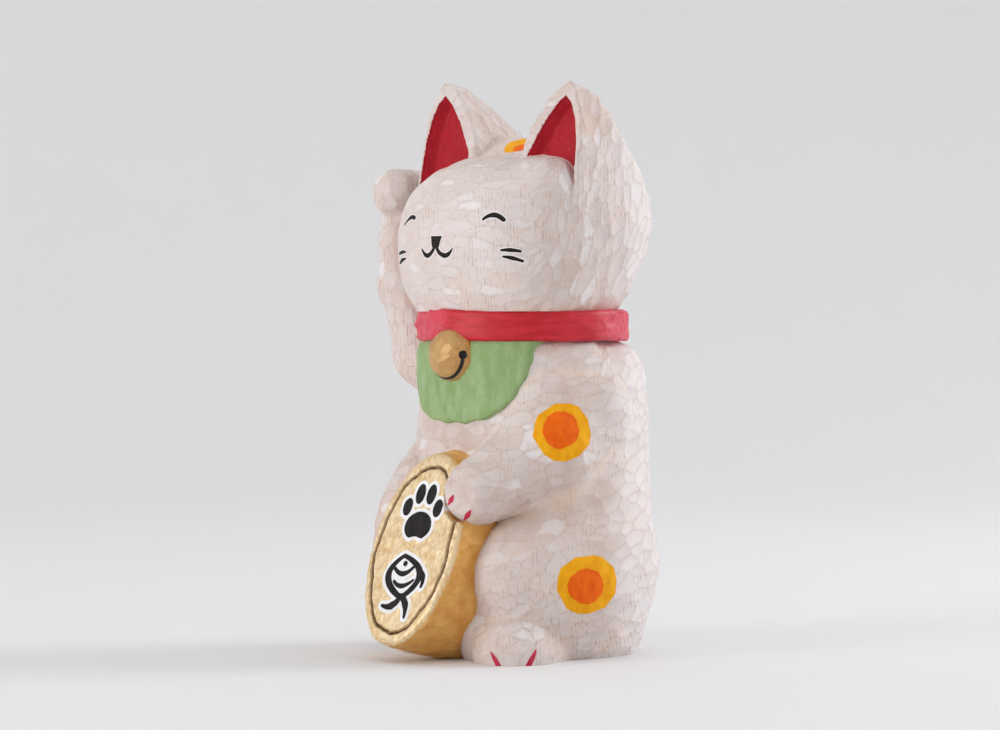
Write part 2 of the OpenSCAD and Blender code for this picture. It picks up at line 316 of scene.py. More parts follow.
def coin_section(p):
    """Side distance and face distance of the coin's block."""
    face = (p - COIN_AT) @ COIN_OUT
    back = COIN_BACK_Y - p[..., 1]
    t = np.clip(-face / np.maximum(back - face, 1e-3), 0, 1)
    up_y = between(COIN_UP[1], 0, t)
    up_z = between(COIN_UP[2], 1, t)
    norm = np.hypot(up_y, up_z)
    mid_y = between(COIN_AT[1], COIN_BACK_Y, t)
    mid_z = between(COIN_AT[2], COIN_BACK_Z, t)
    v = ((p[..., 1] - mid_y) * up_y + (p[..., 2] - mid_z) * up_z) / norm
    half_w = between(COIN_HALF[0], COIN_BACK_HALF[0], t)
    half_l = between(COIN_HALF[1], COIN_BACK_HALF[1], t)
    u = p[..., 0]
    rho = np.maximum(np.hypot(u / half_w, v / half_l), 1e-3)
    return (1 - 1 / rho) * np.hypot(u, v), face


def oval_distance(u, v, half):
    """Roughly the distance from an oval, negative inside."""
    return ellipsoid(np.stack([u, v], -1), (0, 0), half)


def coin_groove(p):
    """Distance from the groove's middle line, with the wobble of a hand-held gouge."""
    u = p[..., 0]
    v = (p - COIN_AT) @ COIN_UP
    turn = np.arctan2(v, u * 1.7)
    wobble = 0.16 * np.sin(7 * turn + 1) + 0.1 * np.sin(13 * turn) + 0.06 * np.sin(29 * turn)
    return oval_distance(u, v, GROOVE_HALF) + wobble


def paw_room(p, radius):
    """The left paw's end, carried straight on to the front."""
    x, y, z = LEFT_ARM[-1][0]
    return capsule(p, (x, y, z), radius, (x, y - 35, z), radius)


def coin_shape(p):
    side, face = coin_section(p)
    away = np.abs(coin_groove(p))
    front = face + GROOVE_DEPTH * np.maximum(0, 1 - away / GROOVE_W)
    block = smooth_max(side, front, 1.4)
    block = np.maximum(block, p[..., 1] - COIN_BACK_Y)
    return np.maximum(block, -paw_room(p, COIN_CUT_R))


def body_shape(p):
    side, face = coin_section(p)
    notch = np.maximum(np.maximum(side, face) + COIN_LAP, p[..., 1] - COIN_BACK_Y)
    notch = np.maximum(notch, -paw_room(p, BODY_PAW_R))
    solid = np.maximum(figure(p), -notch)
    return np.maximum(solid, -arm_side(p) + SEAM_GAP)


def raised_arm_shape(p):
    collar = np.maximum(np.hypot(p[..., 0], p[..., 1]) - COLLAR_R - 0.1, NECK_Z - 0.1 - p[..., 2])
    solid = np.maximum(figure(p), arm_side(p) + SEAM_GAP)
    return np.maximum(solid, -collar)


def skull(p):
    """A rounded block, blunt at the crown and the cheeks, with a low muzzle."""
    q = p - np.array(HEAD_MIDDLE, np.float32)
    crown = FOREHEAD_H + (CROWN_H - FOREHEAD_H) * smooth_step(q[..., 1], -8.0, 1.5)
    tall = np.where(q[..., 2] > 0, crown, HEAD_HALF[2])
    shares = [np.abs(q[..., 0]) / HEAD_HALF[0], np.abs(q[..., 1]) / HEAD_HALF[1], np.abs(q[..., 2]) / tall]
    rho = np.maximum(sum(share**SQUARE for share in shares) ** (1 / SQUARE), 1e-3)
    block = (1 - 1 / rho) * length(q)
    behind = smooth_step(0.72 * np.abs(q[..., 0]) + 0.7 * q[..., 1], 8, 22)
    block += NAPE_IN * behind * smooth_step(-q[..., 2], -2, 10)
    block = smooth_min(block, ellipsoid(p, BROW_AT, BROW_SIZE), 2.5)
    return smooth_min(block, ellipsoid(p, MUZZLE_AT, MUZZLE_SIZE), 3.0)


def polygon_distance(u, v, corners):
    """Distance from a convex outline whose corners run anticlockwise, negative inside."""
    found = np.full(u.shape, -1e3, np.float32)
    for (ax, ay), (bx, by) in zip(corners, corners[1:] + corners[:1]):
        dx, dy = bx - ax, by - ay
        size = math.hypot(dx, dy)
        found = np.maximum(found, ((u - ax) * dy - (v - ay) * dx) / size)
    return found


def ear_red(p):
    """Distance from the outline of an ear's hollow, seen from the front, negative inside."""
    return polygon_distance(p[..., 0], p[..., 2] - TIP_Z, EAR_HOLLOW)


def ear(p):
    """One ear: a thick wedge with a hollow front, its ridge running to the back of the head."""
    inside = -ear_red(p)
    hollow = EAR_DEPTH * smooth_step(inside, -0.1, 2.2) + 0.5 * smooth_step(inside, -0.1, 0.4)
    shape = (p - EAR_TIP) @ EAR_FRONT + hollow
    shape = smooth_max(shape, polygon_distance(p[..., 0], p[..., 2] - TIP_Z, EAR_OUTLINE), 0.8)
    for at, normal in EAR_RIDGE:
        n = np.array(normal) / np.linalg.norm(normal)
        shape = smooth_max(shape, (p - np.array(at)) @ n, 0.9)
    plan = np.abs(p[..., 0] / EAR_PLAN[0]) ** SQUARE + np.abs(p[..., 1] / EAR_PLAN[1]) ** SQUARE
    rho = np.maximum(plan ** (1 / SQUARE), 1e-3)
    shape = smooth_max(shape, (1 - 1 / rho) * np.hypot(p[..., 0], p[..., 1]), 2.0)
    return smooth_max(shape, EAR_FOOT_Z - p[..., 2], 3.0)


def ear_space(p):
    """Points as the left ear sees them: the right ear is its mirror image, set a little higher."""
    q = p.copy()
    q[..., 0] = np.abs(q[..., 0])
    q[..., 2] -= RIGHT_EAR_LIFT * (p[..., 0] < 0)
    return q


def head_shape(p):
    q = ear_space(p)
    fillet = 0.4 + 3.4 * smooth_step(q[..., 1], -6.5, 1.0)
    return smooth_min(skull(p), ear(q), fillet)


def bell_shape(p):
    q = p - BELL_AT
    ball = ellipsoid(p, BELL_AT, (BELL_R, BELL_R * BELL_FLAT, BELL_R))
    rim = np.hypot(q[..., 0], q[..., 2]) - BELL_R * 1.02
    band = smooth_max(rim, np.abs(q[..., 1] - 0.6) - 1.2, 0.5)
    ball = smooth_min(ball, band, 0.4)
    return np.maximum(ball, -bell_slot(p))


def bell_slot(p):
    """The slot round the lower half, with a hole at each end."""
    q = p - BELL_AT
    around = np.hypot(q[..., 0], q[..., 2])
    ring = np.hypot(around - SLOT_R, q[..., 1] + SLOT_OUT) - SLOT_HALF
    ring = np.maximum(ring, q[..., 2])
    side = np.abs(q[..., 0]) - SLOT_R
    hole = length(np.stack([side, q[..., 1] + SLOT_OUT, q[..., 2]], -1)) - SLOT_HOLE_R
    return np.minimum(ring, hole)


def bib_outline(p):
    """Distance from the bib's outline in front view, negative inside."""
    drop = NECK_Z - BIB_LOW[2]
    u = np.abs(p[..., 0]) / BIB_HALF
    v = np.abs(p[..., 2] - NECK_Z) / drop
    rho = np.maximum((u**BIB_SQUARE + v**BIB_SQUARE) ** (1 / BIB_SQUARE), 1e-3)
    wobble = 0.12 * np.sin(p[..., 0] * 1.3 + 1) + 0.08 * np.sin(p[..., 2] * 1.7)
    return (rho - 1) * drop + wobble


def bib_shape(p):
    skin = figure(p)
    plate = np.maximum(skin - BIB_OVER, -skin - BIB_UNDER)
    plate = smooth_max(plate, bib_outline(p), 0.7)
    return np.maximum(plate, p[..., 1] + 4)


# ---- meshes


def skin_of(shape, low, high, step):
    """The zero surface of a shape: points and triangles."""
    low = np.array(low, float)
    count = np.ceil((np.array(high) - low) / step).astype(int) + 1
    axes = [(low[i] + step * np.arange(count[i])).astype(np.float32) for i in range(3)]
    field = np.empty(count, np.float32)
    slab = 12
    for i in range(0, count[0], slab):
        block = np.meshgrid(axes[0][i : i + slab], axes[1], axes[2], indexing="ij")
        field[i : i + slab] = shape(np.stack(block, -1))
    field = np.clip(field, -3 * step, 3 * step)
    grid = openvdb.FloatGrid(background=float(3 * step))
    grid.copyFromArray(field)
    points, quads = grid.convertToQuads(isovalue=0.0)
    points = points.astype(float) * step + low
    quads = quads.astype(np.int64)
    points = settle(points, shape, step)
    return points, split(points, quads)


def settle(points, shape, step):
    """Moves points onto the zero surface, at most most of a step."""
    for _ in range(2):
        value = shape(points)
        slope = gradient(points, shape, 0.2 * step)
        size = np.maximum((slope**2).sum(1), 0.2)
        move = -slope * (value / size)[:, None]
        far = length(move)
        points = points + move * np.minimum(1, 0.6 * step / np.maximum(far, 1e-9))[:, None]
    return points


def gradient(points, shape, h):
    slope = np.empty_like(points)
    for i in range(3):
        ahead = points.copy()
        ahead[:, i] += h
        behind = points.copy()
        behind[:, i] -= h
        slope[:, i] = (shape(ahead) - shape(behind)) / (2 * h)
    return slope


def split(points, quads):
    """Quads as triangles, each cut along its shorter diagonal."""
    a, b, c, d = (points[quads[:, i]] for i in range(4))
    short = length(a - c) < length(b - d)
    first = np.where(short[:, None], quads[:, [0, 1, 2]], quads[:, [0, 1, 3]])
    second = np.where(short[:, None], quads[:, [0, 2, 3]], quads[:, [1, 2, 3]])
    return np.concatenate([first, second])


def point_normals(points, tris):
    a, b, c = (points[tris[:, i]] for i in range(3))
    face = np.cross(b - a, c - a)
    normal = np.zeros_like(points)
    for i in range(3):
        for axis in range(3):
            normal[:, axis] += np.bincount(tris[:, i], face[:, axis], len(points))
    return normal / np.maximum(length(normal), 1e-12)[:, None]


def clip(points, tris, data, value):
    """Keeps what lies where value is negative. Also returns the cut's edges."""
    inside = value < 0
    count = inside[tris].sum(1)
    cut = tris[(count == 1) | (count == 2)]
    held = inside[cut]
    alone = held.sum(1) == 1
    first = np.where(alone, held.argmax(1), (~held).argmax(1))
    rows = np.arange(len(cut))
    a, b, c = (cut[rows, (first + i) % 3] for i in range(3))
    pairs = np.sort(np.concatenate([np.stack([a, b], 1), np.stack([a, c], 1)]), 1)
    keys, index = np.unique(pairs, axis=0, return_inverse=True)
    index = index.ravel()
    left, right = keys[:, 0], keys[:, 1]
    t = value[left] / (value[left] - value[right])
    ab = len(points) + index[: len(cut)]
    ac = len(points) + index[len(cut) :]

    def extended(v):
        share = t.reshape((-1,) + (1,) * (v.ndim - 1))
        return np.concatenate([v, between(v[left], v[right], share)])

    one = np.stack([a, ab, ac], 1)[alone]
    two = np.concatenate([np.stack([b, c, ac], 1), np.stack([b, ac, ab], 1)])
    two = two[np.concatenate([~alone, ~alone])]
    kept = np.concatenate([tris[count == 3], one, two])
    rim = np.where(alone[:, None], np.stack([ab, ac], 1), np.stack([ac, ab], 1))
    used, flat = np.unique(kept.ravel(), return_inverse=True)
    number = np.full(len(points) + len(keys), -1)
    number[used] = np.arange(len(used))
    data = {name: extended(v)[used] for name, v in data.items()}
    return extended(points)[used], flat.reshape(-1, 3), data, number[rim]


def loops(rim):
    """Closed loops of points from directed edges."""
    follow = {int(a): int(b) for a, b in rim if a != b}
    found = []
    while follow:
        start = next(iter(follow))
        loop = []
        at = start
        while at in follow:
            loop.append(at)
            at = follow.pop(at)
        if at == start and len(loop) > 2:
            found.append(loop)
    return found


def cut_flat(points, tris, data, z, keep_below):
    """Cuts a mesh along a level plane and closes it there with a flat cap."""
    sign = 1 if keep_below else -1
    value = sign * (points[:, 2] - z)
    value[np.abs(value) < 1e-4] = -1e-4
    points, tris, data, rim = clip(points, tris, data, value)
    caps = []
    for loop in loops(rim):
        outline = [Vector((points[i][0], points[i][1], 0)) for i in loop]
        for t in tessellate_polygon([outline]):
            caps.append([loop[i] for i in t])
    caps = np.array(caps, np.int64).reshape(-1, 3)
    start = len(points)
    inner, caps = np.unique(caps.ravel(), return_inverse=True)
    caps = caps.reshape(-1, 3)
    a, b, c = (points[inner[caps[:, i]]] for i in range(3))
    wrong = np.cross(b - a, c - a)[:, 2] * sign < 0
    caps[wrong] = caps[wrong][:, ::-1]
    points = np.concatenate([points, points[inner]])
    data = {name: np.concatenate([v, v[inner]]) for name, v in data.items()}
    return points, np.concatenate([tris, caps + start]), data


def piece(name, points, tris, data, material, node=None):
    """A finished mesh piece that rides on the root body."""
    mesh = bpy.data.meshes.new(name)
    mesh.from_pydata(points * MM, [], tris)
    mesh.validate()
    for key, values in data.items():
        layer = mesh.attributes.new(key, "FLOAT", "POINT")
        layer.data.foreach_set("value", np.asarray(values, np.float32))
    mesh.shade_smooth()
    mesh.set_sharp_from_angle(angle=SHARP_EDGE)
    mesh.materials.append(material)
    ob = bpy.data.objects.new(name, mesh)
    bpy.context.scene.collection.objects.link(ob)
    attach(ob, "root")
    if node:
        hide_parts(node)
    return ob


# ---- carving


class Scoops:
    """Gouge cuts laid over a skin. Each has a place, a direction, a size and a relief."""

    TRIES_PER_MM2 = 1.6
    CELL = 6.0
    CROWDED = 0.55
    REACH = 6.5

    def __init__(self, points, tris, style, seed):
        self.random = np.random.default_rng(seed)
        normal = point_normals(points, tris)
        a, b, c = (points[tris[:, i]] for i in range(3))
        area = length(np.cross(b - a, c - a))
        tries = int(area.sum() / 2 * self.TRIES_PER_MM2)
        pick = self.random.choice(len(tris), tries, p=area / area.sum())
        at = tris[pick, self.random.integers(0, 3, tries)]
        jitter = self.random.normal(0, 0.1, (tries, 3))
        self.place(points[at] + jitter, normal[at], style)

    def place(self, at, normal, style):
        """Keeps the tries that don't crowd a cut already kept."""
        size, turn, relief = style(at, normal)
        turn = turn + self.random.normal(0, 0.14, len(at))
        flat = np.cross((0.0, 0.0, 1.0), normal)
        flat /= np.maximum(length(flat), 1e-6)[:, None]
        rise = np.cross(normal, flat)
        u = flat * np.cos(turn)[:, None] + rise * np.sin(turn)[:, None]
        v = np.cross(normal, u)
        size = size * self.random.uniform(0.7, 1.3, (len(at), 1))
        kept = []
        cells = {}
        for i in range(len(at)):
            key = tuple((at[i] // self.CELL).astype(int))
            around = itertools.product(*((k - 1, k, k + 1) for k in key))
            near = [j for place in around for j in cells.get(place, ())]
            if near:
                q = at[near] - at[i]
                gap = ((q @ u[i]) / size[i, 0]) ** 2 + ((q @ v[i]) / size[i, 1]) ** 2
                gap += ((q @ normal[i]) / 3.0) ** 2
                if gap.min() < self.CROWDED:
                    continue
            kept.append(i)
            cells.setdefault(key, []).append(i)
        self.at, self.normal, self.u, self.v = at[kept], normal[kept], u[kept], v[kept]
        half = size[kept] / 2
        relief = relief[kept] * self.random.uniform(0.6, 1.5, len(kept))
        self.bend = half**2 / (2 * relief[:, None])
        self.depth = relief * self.random.uniform(0.3, 1.2, len(kept))
        self.tone = self.random.random(len(kept))

    def carve(self, points, tris, strength=1.0):
        """Carved points, and for each its distance from a ridge and its cut's tone."""
        normal = point_normals(points, tris)
        order = np.argsort(points[:, 2])
        p, n = points[order], normal[order]
        best = np.full(len(p), 1e3)
        second = np.full(len(p), 1e3)
        which = np.zeros(len(p), int)
        other = np.zeros(len(p), int)
        start = np.searchsorted(p[:, 2], self.at[:, 2] - self.REACH)
        stop = np.searchsorted(p[:, 2], self.at[:, 2] + self.REACH)
        for i in range(len(self.at)):
            rows = np.arange(start[i], stop[i])
            q = p[rows] - self.at[i]
            near = (np.abs(q[:, :2]) < self.REACH).all(1)
            rows, q = rows[near], q[near]
            near = n[rows] @ self.normal[i] > 0.35
            rows, q = rows[near], q[near]
            h = (q @ self.u[i]) ** 2 / (2 * self.bend[i, 0])
            h += (q @ self.v[i]) ** 2 / (2 * self.bend[i, 1])
            h -= self.depth[i]
            first = h < best[rows]
            top = rows[first]
            second[top], other[top] = best[top], which[top]
            best[top], which[top] = h[first], i
            next_best = ~first & (h < second[rows])
            low = rows[next_best]
            second[low], other[low] = h[next_best], i
        bare = best > 1.0
        best[bare] = 0
        height = smooth_min(best, np.minimum(second, 5), 0.03)
        slope = self.slope(p, which) - self.slope(p, other)
        ridge = (second - best) / np.maximum(length(slope), 0.02)
        ridge[bare] = 2
        points = points.copy()
        points[order] += n * (strength * height)[:, None]
        back = np.argsort(order)
        return points, {
            "ridge": np.clip(ridge, 0, 2)[back],
            "tone": self.tone[which][back],
        }

    def slope(self, p, which):
        q = p - self.at[which]
        u, v, bend = self.u[which], self.v[which], self.bend[which]
        along = ((q * u).sum(1) / bend[:, 0])[:, None] * u
        across = ((q * v).sum(1) / bend[:, 1])[:, None] * v
        return along + across


def cuts(long, short, turn, relief):
    """Sizes, turn from level and relief for many cuts at once."""
    return np.stack([long, short], 1), turn, relief


def head_style(at, normal):
    """Wide, shallow cuts in level rows on the face; long, deeper, upright ones behind."""
    face = smooth_step(-normal[:, 1] - 0.15 * np.abs(at[:, 0]) / 10, 0.05, 0.55)
    long = 6.4 - 0.2 * face
    short = 3.4 - 0.5 * face
    turn = (1 - face) * (math.pi / 2 - 0.35 * np.sign(at[:, 0]))
    return cuts(long, short, turn, 0.25 - 0.15 * face)


def body_style(at, _):
    """Longer and deeper cuts towards the back."""
    back = smooth_step(at[:, 1] + 0.5 * np.abs(at[:, 0]), 2, 22)
    turn = np.full(len(at), 0.25)
    return cuts(5.8 + 1.2 * back, 3.3 + 0.4 * back, turn, 0.14 + 0.16 * back)


def even_style(long, short, turn, relief):
    """The same cut everywhere."""

    def found(at, _):
        return cuts(*(value * np.ones(len(at)) for value in (long, short, turn, relief)))

    return found


def coin_style(_, normal):
    """Long planed facets on the sides, small square ones on the face."""
    face = smooth_step(normal @ COIN_OUT, 0.6, 0.85)
    long = 7.5 - 4.9 * face
    short = 3.6 - 1.4 * face
    return cuts(long, short, math.pi / 2 * face, 0.13 - 0.08 * face)


# ---- materials


def srgb(r, g, b):
    """A colour given as 0 to 255 display values, as the renderer wants it."""
    values = [c / 255 for c in (r, g, b)]
    linear = [c / 12.92 if c <= 0.04045 else ((c + 0.055) / 1.055) ** 2.4 for c in values]
    return (*linear, 1.0)


class Paint:
    """One procedural material, built a node at a time."""

    def __init__(self, name, roughness=0.6, specular=0.35):
        self.material = bpy.data.materials.new(name)
        self.material.use_nodes = True
        self.tree = self.material.node_tree
        self.shader = self.tree.nodes["Principled BSDF"]
        self.shader.inputs["Roughness"].default_value = roughness
        self.shader.inputs["Specular IOR Level"].default_value = specular
        place = self.tree.nodes.new("ShaderNodeTexCoord").outputs["Object"]
        self.at = self.stretch(place, 1 / MM, 1 / MM, 1 / MM)

    def put(self, value, socket):
        if isinstance(value, bpy.types.NodeSocket):
            self.tree.links.new(value, socket)
        else:
            socket.default_value = value

    def new(self, kind, *values, **settings):
        """A node with its settings, its first sockets fed with values."""
        node = self.tree.nodes.new("ShaderNode" + kind)
        for key, setting in settings.items():
            setattr(node, key, setting)
        for socket, value in zip(node.inputs, values):
            self.put(value, socket)
        return node

    def stretch(self, vector, x, y, z):
        return self.new("VectorMath", vector, (x, y, z), operation="MULTIPLY").outputs[0]

    def math(self, operation, a, b=0.0):
        return self.new("Math", a, b, operation=operation).outputs[0]

    def plus(self, a, b):
        return self.math("ADD", a, b)

    def times(self, *values):
        found = values[0]
        for value in values[1:]:
            found = self.math("MULTIPLY", found, value)
        return found

    def mix(self, share, a, b):
        node = self.new("Mix", share, data_type="RGBA")
        self.put(a, node.inputs[6])
        self.put(b, node.inputs[7])
        return node.outputs[2]

    def step(self, value, low, high, to_low=0.0, to_high=1.0):
        node = self.new("MapRange", value, low, high, to_low, to_high, interpolation_type="SMOOTHSTEP")
        return node.outputs[0]

    def noise(self, scale, detail, stretch=(1, 1, 1)):
        """Noise with that many waves a millimetre."""
        node = self.new("TexNoise", self.stretch(self.at, *stretch))
        node.inputs["Scale"].default_value = scale
        node.inputs["Detail"].default_value = detail
        return node.outputs["Fac"]

    def attribute(self, name):
        return self.new("Attribute", attribute_name=name).outputs["Fac"]

    def axes(self):
        return self.new("SeparateXYZ", self.at).outputs

    def color(self, value):
        self.put(value, self.shader.inputs["Base Color"])

    def bump(self, height, distance_mm):
        node = self.new("Bump")
        node.inputs["Distance"].default_value = distance_mm * MM
        self.put(height, node.inputs["Height"])
        self.put(node.outputs[0], self.shader.inputs["Normal"])


PITH = (-112.0, -108.0)
GRAIN_PITCH = 0.68


def grain(paint):
    """Growth rings about a far pith: thin, upright, broken lines."""
    x, y, _ = paint.axes()
    sway = paint.times(paint.noise(0.06, 3, (1, 1, 0.35)), 5.0)
    dx = paint.plus(x, -PITH[0])
    dy = paint.plus(y, -PITH[1])
    far = paint.math("POWER", paint.plus(paint.times(dx, dx), paint.times(dy, dy)), 0.5)
    ring = paint.math("DIVIDE", paint.plus(far, sway), GRAIN_PITCH)
    wave = paint.math("ABSOLUTE", paint.plus(paint.math("FRACT", ring), -0.5))
    line = paint.step(wave, 0.3, 0.48)
    dashes = paint.step(paint.noise(1.3, 3, (1, 1, 0.45)), 0.45, 0.62)
    return paint.times(line, dashes)


def wood_ground(paint):
    """Pinkish wood through thin paint, warmer in patches and in the creases."""
    wash = paint.step(paint.noise(0.055, 3), 0.38, 0.62)
    ground = paint.mix(wash, srgb(203, 175, 160), srgb(216, 196, 187))
    warm = paint.step(paint.noise(0.07, 2, (1, 1, 1.3)), 0.56, 0.72)
    ground = paint.mix(paint.times(warm, 0.35), ground, srgb(238, 190, 150))
    crease = paint.attribute("crease")
    return paint.mix(paint.times(crease, 0.55), ground, srgb(240, 203, 168))


def white_cover(paint, ridge, tone):
    """How well each scoop is covered, less along its ridges."""
    body = paint.step(ridge, 0.0, 0.6, 0.7, 1.0)
    load = paint.plus(paint.times(tone, 0.4), paint.times(paint.noise(0.2, 3), 1.2))
    return paint.times(body, paint.step(load, 0.45, 1.15, 0.35, 0.8))


def thick_white(paint, ridge, tone):
    """Where single scoops hold a thick coat."""
    thick = paint.times(paint.step(tone, 0.8, 1.0), paint.step(ridge, 0.05, 0.8))
    return paint.times(thick, paint.step(paint.noise(0.5, 3), 0.3, 0.55))


def scoop_edges(paint, ridge, behind):
    """Brown, broken outlines where paint wore off the ridges, fainter behind, under the painted highlight
    of the back.
    """
    dots = paint.step(paint.noise(2.2, 1), 0.42, 0.58)
    edge = paint.times(paint.step(ridge, 0.03, 0.2, 1.0, 0.0), dots)
    drawn = paint.step(paint.noise(0.05, 2), 0.4, 0.62, 0.06, 0.45)
    return paint.times(edge, drawn, paint.plus(1.0, paint.times(behind, -0.7)))


def white_paint(red=False):
    """Thin white paint, scoop by scoop, over warm wood."""
    paint = Paint("white_paint_red_ears" if red else "white_paint", 0.62, 0.3)
    ridge = paint.attribute("ridge")
    tone = paint.attribute("tone")
    x, y, z = paint.axes()
    cover = white_cover(paint, ridge, tone)
    veil = paint.step(paint.noise(1.4, 4), 0.3, 0.7, 0.76, 1.0)
    color = paint.mix(paint.times(cover, veil), wood_ground(paint), srgb(228, 221, 220))
    color = paint.mix(paint.times(thick_white(paint, ridge, tone), 0.6), color, srgb(242, 239, 241))
    # Painted highlight: the upper front, under the collar, is lightened.
    front = paint.times(paint.step(y, -24.0, -10.0, 1.0, 0.0), paint.step(z, 45.0, 60.0))
    color = paint.mix(paint.times(front, 0.35), color, srgb(240, 234, 234))
    # Whiter towards the back, most on the ridges: a painted rim highlight over a thicker white coat.
    behind = paint.step(paint.plus(paint.math("ABSOLUTE", x), y), 20.0, 35.0)
    behind = paint.times(behind, paint.step(ridge, 0.0, 0.5, 0.5, 1.0))
    color = paint.mix(paint.times(behind, 0.6), color, srgb(246, 242, 244))
    lines = paint.times(grain(paint), paint.step(cover, 0.25, 0.95, 1.0, 0.35))
    where = paint.step(paint.noise(0.06, 2), 0.4, 0.62, 0.12, 1.0)
    color = paint.mix(paint.times(lines, where, 0.6), color, srgb(186, 144, 120))
    color = paint.mix(scoop_edges(paint, ridge, behind), color, srgb(172, 132, 112))
    if red:
        color = red_ears(paint, color)
    paint.color(color)
    paint.put(paint.step(paint.noise(0.9, 3), 0.3, 0.7, 0.52, 0.7), paint.shader.inputs["Roughness"])
    paint.bump(paint.plus(paint.noise(2.5, 3), paint.times(lines, -1.2)), 0.05)
    return paint.material


def red_ears(paint, color):
    """Crimson in the hollows of the ears, with a slightly ragged edge."""
    ragged = paint.times(paint.noise(1.5, 2), 0.5)
    inside = paint.plus(paint.plus(paint.attribute("ear_red"), ragged), -0.25)
    crimson = paint.mix(paint.noise(0.25, 3), srgb(156, 6, 22), srgb(190, 18, 42))
    return paint.mix(paint.step(inside, -0.08, 0.1), color, crimson)


def crimson_paint():
    """Streaky crimson, lightened to pink on the collar's two faceted ends in view and paler along their
    ridges: a painted highlight.
    """
    paint = Paint("crimson_paint", 0.45, 0.4)
    streak = paint.noise(0.5, 4, (0.35, 0.35, 1.6))
    color = paint.mix(paint.step(streak, 0.3, 0.7), srgb(188, 14, 30), srgb(210, 36, 54))
    # Painted highlight on the faceted ends in view: pink, paler still on the ridges.
    thin = paint.step(paint.attribute("ridge"), 0.0, 0.4, 1.0, 0.0)
    carved = paint.attribute("carved")
    color = paint.mix(paint.times(thin, carved, 0.25), color, srgb(234, 124, 142))
    color = paint.mix(paint.times(carved, 0.45), color, srgb(232, 92, 116))
    paint.color(color)
    paint.bump(paint.noise(1.6, 4), 0.06)
    return paint.material


def green_paint():
    """Dull green in upright strokes, with paler patches."""
    paint = Paint("green_paint", 0.6, 0.3)
    brush = paint.noise(0.5, 4, (1, 1, 0.3))
    color = paint.mix(paint.step(brush, 0.35, 0.7), srgb(140, 168, 108), srgb(158, 184, 132))
    color = paint.mix(paint.step(paint.noise(0.12, 2), 0.5, 0.75, 0, 0.4), color, srgb(178, 200, 156))
    thin = paint.step(paint.attribute("ridge"), 0.0, 0.3, 0.25, 0.0)
    color = paint.mix(thin, color, srgb(122, 146, 92))
    paint.color(color)
    paint.bump(paint.noise(1.5, 4), 0.06)
    return paint.material


def gold_paint():
    """Pearly gold over carved facets. The groove, slot and sides have their own tones; the groove's dark
    tone also darkens the whole bell a little, as painted shade.
    """
    paint = Paint("gold_paint", 0.42, 0.5)
    paint.shader.inputs["Metallic"].default_value = 0.25
    tone = paint.attribute("tone")
    side = paint.attribute("side")
    hatch = paint.step(paint.noise(1.2, 4, (1, 1, 0.5)), 0.35, 0.68)
    face = paint.mix(hatch, srgb(216, 178, 122), srgb(240, 216, 172))
    face = paint.mix(paint.times(tone, 0.4), face, srgb(248, 232, 200))
    flank = paint.mix(paint.step(paint.noise(0.3, 4), 0.3, 0.7), srgb(222, 156, 72), srgb(238, 186, 102))
    color = paint.mix(side, face, flank)
    thin = paint.step(paint.attribute("ridge"), 0.0, 0.25, 0.22, 0.0)
    color = paint.mix(thin, color, srgb(176, 124, 66))
    # Dark brown in the coin's groove; on the bell the same attribute darkens it all over, a painted shade.
    dark = paint.step(paint.attribute("groove"), 0.05, 0.55, 1.0, 0.0)
    color = paint.mix(dark, color, srgb(104, 72, 42))
    color = paint.mix(paint.attribute("slot"), color, srgb(24, 22, 22))
    paint.color(color)
    paint.bump(paint.noise(2.0, 4), 0.07)
    return paint.material


def film_paint(name, dark, light, roughness=0.5, specular=0.35):
    """A thin coat of one colour, thicker and thinner where the brush went."""
    paint = Paint(name, roughness, specular)
    brush = paint.step(paint.noise(0.6, 4, (1, 1, 0.6)), 0.3, 0.7)
    paint.color(paint.mix(brush, srgb(*dark), srgb(*light)))
    paint.bump(paint.noise(1.8, 3), 0.04)
    return paint.material


def wood():
    """Bare wood of the dowels, with rings and pores."""
    paint = Paint("bare_wood", 0.7, 0.3)
    ring = grain(paint)
    color = paint.mix(paint.noise(0.4, 4, (1, 1, 0.2)), srgb(206, 168, 122), srgb(226, 194, 150))
    paint.color(paint.mix(paint.times(ring, 0.5), color, srgb(160, 116, 74)))
    paint.bump(paint.noise(2.0, 3, (1, 1, 0.2)), 0.05)
    return paint.material


# ---- paint films


def refine(points, tris, normal):
    """Each triangle cut in four."""
    edges = np.sort(np.concatenate([tris[:, [0, 1]], tris[:, [1, 2]], tris[:, [2, 0]]]), 1)
    keys, index = np.unique(edges, axis=0, return_inverse=True)
    index = index.ravel() + len(points)
    n = len(tris)
    ab, bc, ca = index[:n], index[n : 2 * n], index[2 * n :]
    a, b, c = tris.T
    tris = np.concatenate([np.stack(t, 1) for t in ((a, ab, ca), (ab, b, bc), (ca, bc, c), (ab, bc, ca))])
    middle = (points[keys[:, 0]] + points[keys[:, 1]]) / 2
    turned = normal[keys[:, 0]] + normal[keys[:, 1]]
    turned /= np.maximum(length(turned), 1e-9)[:, None]
    return np.concatenate([points, middle]), tris, np.concatenate([normal, turned])


def near_outline(points, tris, normal, outline, reach):
    """Only the triangles inside an outline or within reach of it."""
    keep = (outline(points, normal)[tris] < reach).any(1)
    used, flat = np.unique(tris[keep].ravel(), return_inverse=True)
    return points[used], flat.reshape(-1, 3), normal[used]


FILM_SINK = 0.14


